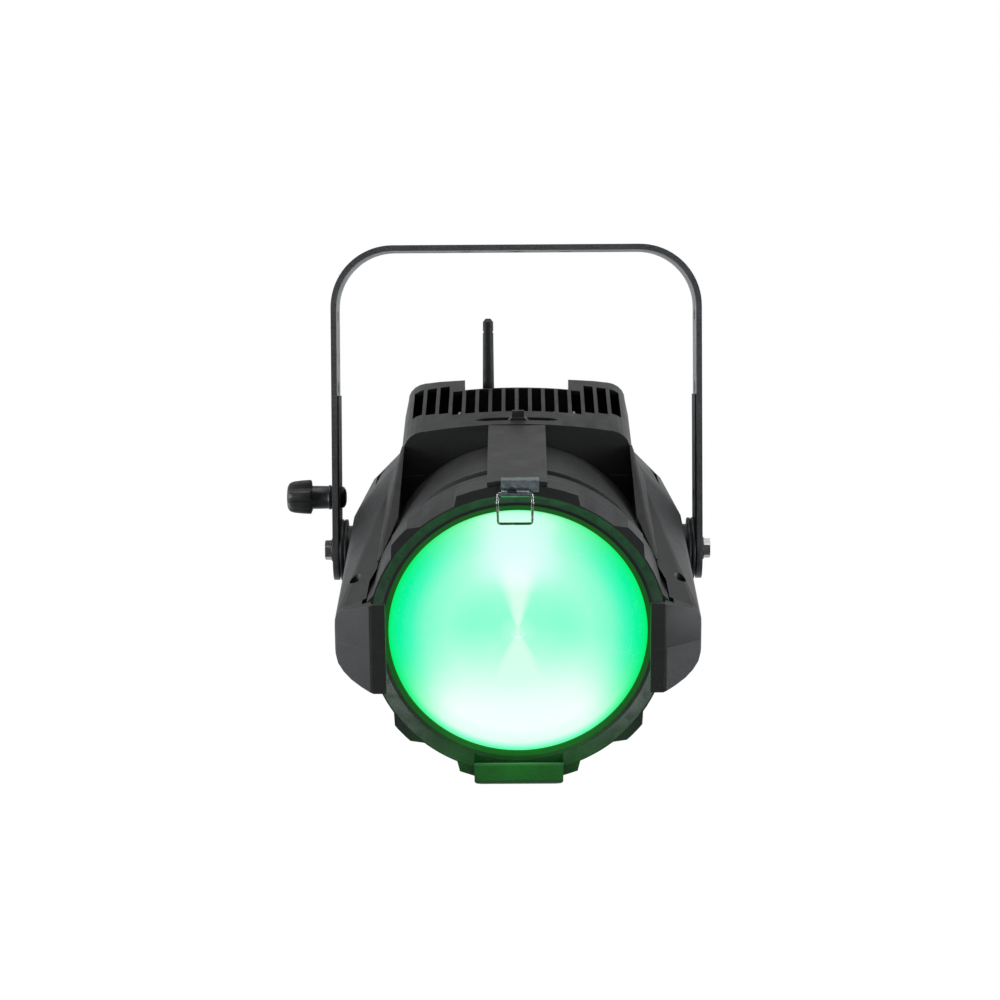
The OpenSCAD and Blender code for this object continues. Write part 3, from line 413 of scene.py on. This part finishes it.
FINISH = {
    "yoke": YOKE, "arm_liners": LINER, "knob": KNOBM, "knob_washer": DARKWASH, "knob_bolt": BLACKBOLT, "pivot_bolts": STEEL,
    "pivot_washers": DARKWASH, "friction_discs": DISC, "pivot_bosses": DISC, "upper_shell": CASE, "lower_shell": CASE,
    "bottom_arm": BEZEL, "barrel": CASE, "front_bezel": BEZEL, "lens": LENS, "lens_gasket": GASKET, "top_bridge": CASE,
    "latch_plate": GALV, "latch_tube": GALV, "wire_bail": WIRE, "lock_slider": SLIDER, "slider_track": SLIDER, "antenna": RUBBER,
    "antenna_knuckle": RUBBER, "antenna_base": BRASS, "rear_panel": PANEL, "display_window": GLASS, "menu_buttons_a": BUTTON,
    "menu_buttons_b": BUTTON, "menu_buttons_c": BUTTON, "menu_buttons_d": BUTTON, "data_sockets": NICKEL,
    "power_inlet": BLUE, "power_outlet": PALE, "fuse_holder": FUSE, "safety_loop": ZINC, "heat_sink": FINS,
    "heat_pipes": COPPER, "led_board": PCBW, "led_emitters": LEDS, "light_chamber": CHAMBER, "diffuser": DIFF,
    "fan_frame": FANP, "fan_rotor": FANP, "fan_motor": FANP, "power_supply": ZINC, "driver_board": PCB,
    "control_board": PCB, "shell_screws": SCREW, "panel_screws": SCREW, "bulkhead": ALU,
}
for name, obj in NODES.items():
    m = FINISH[name]
    if obj.material_slots:
        for s in obj.material_slots:
            s.material = m
    else:
        obj.data.materials.append(m)

# ------------------------------------------------------------------ rounded edges on the CAD nodes
ROUND = {
    "upper_shell": (0.0011, 3), "lower_shell": (0.0011, 3), "bottom_arm": (0.0008, 3), "front_bezel": (0.0006, 2),
    "barrel": (0.0003, 2), "top_bridge": (0.0007, 3), "yoke": (0.0007, 3), "latch_plate": (0.00025, 2), "latch_tube": (0.0002, 2),
    "lock_slider": (0.0005, 3), "friction_discs": (0.0005, 2), "pivot_bolts": (0.0004, 2), "pivot_washers": (0.0003, 2),
    "knob_washer": (0.0003, 2), "antenna_knuckle": (0.0003, 2), "power_inlet": (0.0003, 2),
    "power_outlet": (0.0003, 2), "data_sockets": (0.0003, 2), "fuse_holder": (0.0004, 2), "antenna_base": (0.0004, 2),
}
for name, (width, seg) in ROUND.items():
    if name not in NODES:
        continue
    o = NODES[name]
    w = o.modifiers.new("weld", "WELD")
    w.merge_threshold = 0.00002
    d = o.modifiers.new("planes", "DECIMATE")
    d.decimate_type = "DISSOLVE"
    d.angle_limit = rad(0.8)
    b = o.modifiers.new("edges", "BEVEL")
    b.width = width
    b.segments = seg
    b.limit_method = "ANGLE"
    b.angle_limit = rad(30)
    b.use_clamp_overlap = True
    b.harden_normals = True
    b.miter_outer = "MITER_ARC"


# ------------------------------------------------------------------ mesh pieces
def new_object(name, verts, faces, mat, body, smooth=True):
    me = bpy.data.meshes.new(name)
    me.from_pydata([tuple(v) for v in verts], [], faces)
    me.materials.append(mat)
    for p in me.polygons:
        p.use_smooth = smooth
    o = bpy.data.objects.new(name, me)
    scene.collection.objects.link(o)
    bm = bmesh.new()
    bm.from_mesh(me)
    bmesh.ops.recalc_face_normals(bm, faces=bm.faces)
    bm.to_mesh(me)
    bm.free()
    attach(o, body)
    return o


def loft(rings, closed_ends=True):
    """verts and faces of a closed tube through rings of equal length"""
    verts, faces, n = [], [], len(rings[0])
    for r in rings:
        verts += r
    for i in range(len(rings) - 1):
        for j in range(n):
            a, b = i * n + j, i * n + (j + 1) % n
            faces.append((a, b, b + n, a + n))
    if closed_ends:
        for base, ring in ((0, rings[0]), ((len(rings) - 1) * n, rings[-1])):
            c = sum((Vector(v) for v in ring), Vector()) / n
            verts.append(tuple(c))
            ci = len(verts) - 1
            for j in range(n):
                a, b = base + j, base + (j + 1) % n
                faces.append((ci, b, a) if base == 0 else (ci, a, b))
    return verts, faces


def sweep(path, radius, sides=16, up=Vector((0, 0, 1))):
    """a round bar along a list of points, with parallel-carried sections"""
    pts = [Vector(p) for p in path]
    rings, nrm = [], None
    for i, p in enumerate(pts):
        t = (pts[min(i + 1, len(pts) - 1)] - pts[max(i - 1, 0)]).normalized()
        if nrm is None:
            nrm = t.orthogonal().normalized()
        nrm = (nrm - t * nrm.dot(t)).normalized()
        bi = t.cross(nrm)
        rings.append([tuple(p + (nrm * math.cos(a) + bi * math.sin(a)) * radius) for a in (2 * math.pi * k / sides for k in range(sides))])
    return loft(rings)


def fillet(points, radius, steps=6):
    """rounds the inner corners of a polyline"""
    out = [Vector(points[0])]
    for a, b, c in zip(points, points[1:], points[2:]):
        a, b, c = Vector(a), Vector(b), Vector(c)
        u, v = (a - b), (c - b)
        r = min(radius, u.length * 0.45, v.length * 0.45)
        p, q = b + u.normalized() * r, b + v.normalized() * r
        for i in range(steps + 1):
            t = i / steps
            out.append(p * (1 - t) ** 2 + b * 2 * t * (1 - t) + q * t * t)
    out.append(Vector(points[-1]))
    return out


# clamp knob: hub with a collar and a lobed hand grip
KX, KZ = -0.1285, -0.175
def knob_piece():
    rings, n = [], 120
    lobes = 5
    def ring(x, r, amp, twist=0.0):
        out = []
        for k in range(n):
            a = 2 * math.pi * k / n
            c = math.cos(lobes * (a + twist))
            rr = r + amp * (1 - (1 - max(-1, c)) ** 1.5 / 2 ** 0.5 / 2 * 1.15)
            out.append((x, rr * math.sin(a), KZ + rr * math.cos(a)))
        return out
    mm = 0.001
    stations = [  # x, radius in the valleys, lobe height
        (-130.0, 8.2, 0), (-130.3, 8.5, 0), (-131.6, 8.6, 0), (-132.0, 8.2, 0), (-132.3, 8.0, 0), (-143.0, 8.15, 0), (-143.4, 8.2, 0.3),
        (-143.6, 8.4, 2.6), (-143.9, 8.6, 3.3), (-144.6, 8.8, 3.6), (-150.0, 8.7, 3.4), (-156.0, 8.4, 3.0), (-158.6, 8.1, 2.4),
        (-159.9, 7.5, 1.7), (-160.7, 6.5, 0.9), (-161.0, 5.2, 0.2), (-161.05, 4.4, 0), (-160.6, 4.0, 0), (-160.5, 2.0, 0)]
    for x, r, a in stations:
        rings.append(ring(x * mm, r * mm, a * mm, rad(7)))
    v, f = loft(rings)
    o = new_object("knob_grip", v, f, KNOBM, "knob")
    o.data.materials.append(HUB)
    for p in o.data.polygons:
        if p.center.x > -0.1432:
            p.material_index = 1
    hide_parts("knob")


knob_piece()


# wire bail: bent spring wire with a joggle in each leg
def bail_piece():
    w0, z0, xc = 154.45, 101.4, -1.45
    leg = []
    for s in (-1,):
        leg = [(4.5 * s, 0, 0), (10.9 * s, 0, 0), (11.1 * s, 0.05, -2.6), (11.1 * s, 0.1, -4.6), (11.55 * s, 0.7, -6.2), (11.15 * s, 0.2, -7.8),
               (11.1 * s, 0, -16.0), (10.9 * s, 0, -20.6)]
    left = leg
    right = [(-x, y, z) for x, y, z in reversed(leg)]
    pts = [hp(xc + x, w0 + y, z0 + z) for x, y, z in left + right]
    # soften: tight bends at the tube, larger ones at the foot
    path = fillet(pts, 0.0021, 6)
    v, f = sweep(path, 0.00092, 18)
    o = new_object("bail_wire", v, f, WIRE, "bail")
    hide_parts("wire_bail")


bail_piece()

# ------------------------------------------------------------------ floor, light, camera
FLOOR_Z = -0.62
fm = Net("floor_pale")
fp = fm.n("BsdfPrincipled")
fm.put(fp.inputs["Base Color"], fm.mix(fm.map(fm.noise(3, 3), 0.3, 0.7), (0.86, 0.86, 0.86, 1), (0.9, 0.9, 0.9, 1)))
fm.put(fp.inputs["Roughness"], fm.map(fm.noise(8, 3), 0.3, 0.7, 0.7, 0.8))
fm.put(fp.inputs["Normal"], fm.bump(fm.noise(60), 0.02, 0.001))
flp = fm.n("LightPath")
fsep = fm.n("SeparateXYZ")
fm.put(fsep.inputs[0], fm.co)
fb = fm.map(fsep.outputs[1], -0.2, 0.6, 0.02, 0.9, smooth=True)
fsd = fm.map(fm.math("ABSOLUTE", fsep.outputs[0]), 0.3, 1.1, 0.0, 0.5, smooth=True)
fem = fm.n("Emission")
fm.put(fem.inputs[0], (0.97, 0.985, 1.0, 1))
fm.put(fem.inputs[1], fm.math("MAXIMUM", fb, fsd))
fcam = fm.n("Emission")
fm.put(fcam.inputs[0], (1, 1, 1, 1))
fm.put(fcam.inputs[1], fm.map(fm.noise(3, 3), 0.3, 0.7, 1.0, 1.01))
fdim = fm.n("MixShader")
fm.put(fdim.inputs[0], 0.06)
fm.t.links.new(fem.outputs[0], fdim.inputs[1])
fm.t.links.new(fp.outputs[0], fdim.inputs[2])
fmx = fm.n("MixShader")
fm.t.links.new(flp.outputs["Is Camera Ray"], fmx.inputs[0])
fm.t.links.new(fdim.outputs[0], fmx.inputs[1])
fm.t.links.new(fcam.outputs[0], fmx.inputs[2])
fm.t.links.new(fmx.outputs[0], fm.out.inputs[0])
me = bpy.data.meshes.new("floor")
R = 30.0
me.from_pydata([(-R, -R, FLOOR_Z), (R, -R, FLOOR_Z), (R, R, FLOOR_Z), (-R, R, FLOOR_Z)], [], [(0, 1, 2, 3)])
me.materials.append(fm.m)
floor = bpy.data.objects.new("floor", me)
scene.collection.objects.link(floor)

world = bpy.data.worlds.new("studio")
scene.world = world
world.use_nodes = True
wt = world.node_tree
wt.nodes.clear()
wo = wt.nodes.new("ShaderNodeOutputWorld")
wtc = wt.nodes.new("ShaderNodeTexCoord")
wsep = wt.nodes.new("ShaderNodeSeparateXYZ")
wt.links.new(wtc.outputs["Generated"], wsep.inputs[0])
wmap = wt.nodes.new("ShaderNodeMapRange")
wmap.interpolation_type = "SMOOTHSTEP"
wt.links.new(wsep.outputs[1], wmap.inputs[0])
wmap.inputs[1].default_value = -0.3
wmap.inputs[2].default_value = 0.5
wmap.inputs[3].default_value = 0.10
wmap.inputs[4].default_value = 1.0
wup = wt.nodes.new("ShaderNodeMapRange")
wt.links.new(wsep.outputs[2], wup.inputs[0])
wup.inputs[1].default_value = 0.15
wup.inputs[2].default_value = 0.7
wup.inputs[3].default_value = 1.0
wup.inputs[4].default_value = 0.45
wmul = wt.nodes.new("ShaderNodeMath")
wmul.operation = "MULTIPLY"
wt.links.new(wmap.outputs[0], wmul.inputs[0])
wt.links.new(wup.outputs[0], wmul.inputs[1])
wbg = wt.nodes.new("ShaderNodeBackground")
wbg.inputs[0].default_value = (0.97, 0.985, 1.0, 1)
wt.links.new(wmul.outputs[0], wbg.inputs[1])
wbg2 = wt.nodes.new("ShaderNodeBackground")
wbg2.inputs[0].default_value = (1, 1, 1, 1)
wbg2.inputs[1].default_value = 1.0
wlp = wt.nodes.new("ShaderNodeLightPath")
wmix = wt.nodes.new("ShaderNodeMixShader")
wt.links.new(wlp.outputs["Is Camera Ray"], wmix.inputs[0])
wt.links.new(wbg.outputs[0], wmix.inputs[1])
wt.links.new(wbg2.outputs[0], wmix.inputs[2])
wt.links.new(wmix.outputs[0], wo.inputs[0])


def area(name, loc, target, size, power, color=(1, 1, 1), size_y=None, shape="RECTANGLE", spread=180):
    l = bpy.data.lights.new(name, "AREA")
    l.shape = shape
    l.size = size
    if shape in ("RECTANGLE", "ELLIPSE"):
        l.size_y = size_y or size
    l.energy = power
    l.color = color
    l.spread = rad(spread)
    o = bpy.data.objects.new(name, l)
    scene.collection.objects.link(o)
    o.location = loc
    d = Vector(target) - Vector(loc)
    o.rotation_euler = d.to_track_quat("-Z", "Y").to_euler()
    o.visible_camera = False
    return o


area("overhead", (0, -0.12, 1.25), (0, 0, -0.2), 1.5, 13.0, size_y=1.3)
area("left_box", (-1.3, -0.35, -0.35), (0, 0, -0.25), 0.8, 20.0, color=(0.9, 0.95, 1.0), size_y=1.0)
area("right_box", (1.3, -0.35, -0.35), (0, 0, -0.25), 0.8, 20.0, color=(0.9, 0.95, 1.0), size_y=1.0)
# light that leaves the lens and spills on the rim, the ears and the wire
spill = area("lens_spill", hp(0, 142.2, 0), hp(0, 400, 0), 0.168, 0.12, color=(0.0, 1.0, 0.03), shape="DISK")
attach(spill, "head")
# green light thrown back from in front of the head onto the lower lip and the ears' lips
back_glow = area("beam_bounce", hp(0, 192, -82), hp(0, 154, -97), 0.085, 0.14, color=(0.0, 1.0, 0.03), shape="DISK")
back_glow.visible_glossy = False
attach(back_glow, "head")
# pale card in front, low: only its faint reflection shows in the lens
area("card", (0.0, -0.66, -0.55), hp(0, 141, 32), 0.085, 0.12, size_y=0.10)

cam_data = bpy.data.cameras.new("camera")
cam_data.lens = 108.0
cam_data.sensor_width = 36.0
cam_data.clip_start = 0.05
cam_data.clip_end = 100
cam = bpy.data.objects.new("camera", cam_data)
scene.collection.objects.link(cam)
cam.location = (0.0, -2.100, -0.0901)
base = Matrix.Rotation(rad(0.330), 4, "Z") @ Matrix.Rotation(rad(90 - 2.386), 4, "X") @ Matrix.Rotation(rad(-0.35), 4, "Z")
cam.rotation_euler = base.to_euler()
scene.camera = cam

scene.view_settings.view_transform = "Standard"
scene.view_settings.look = "None"

bpy.context.view_layer.update()
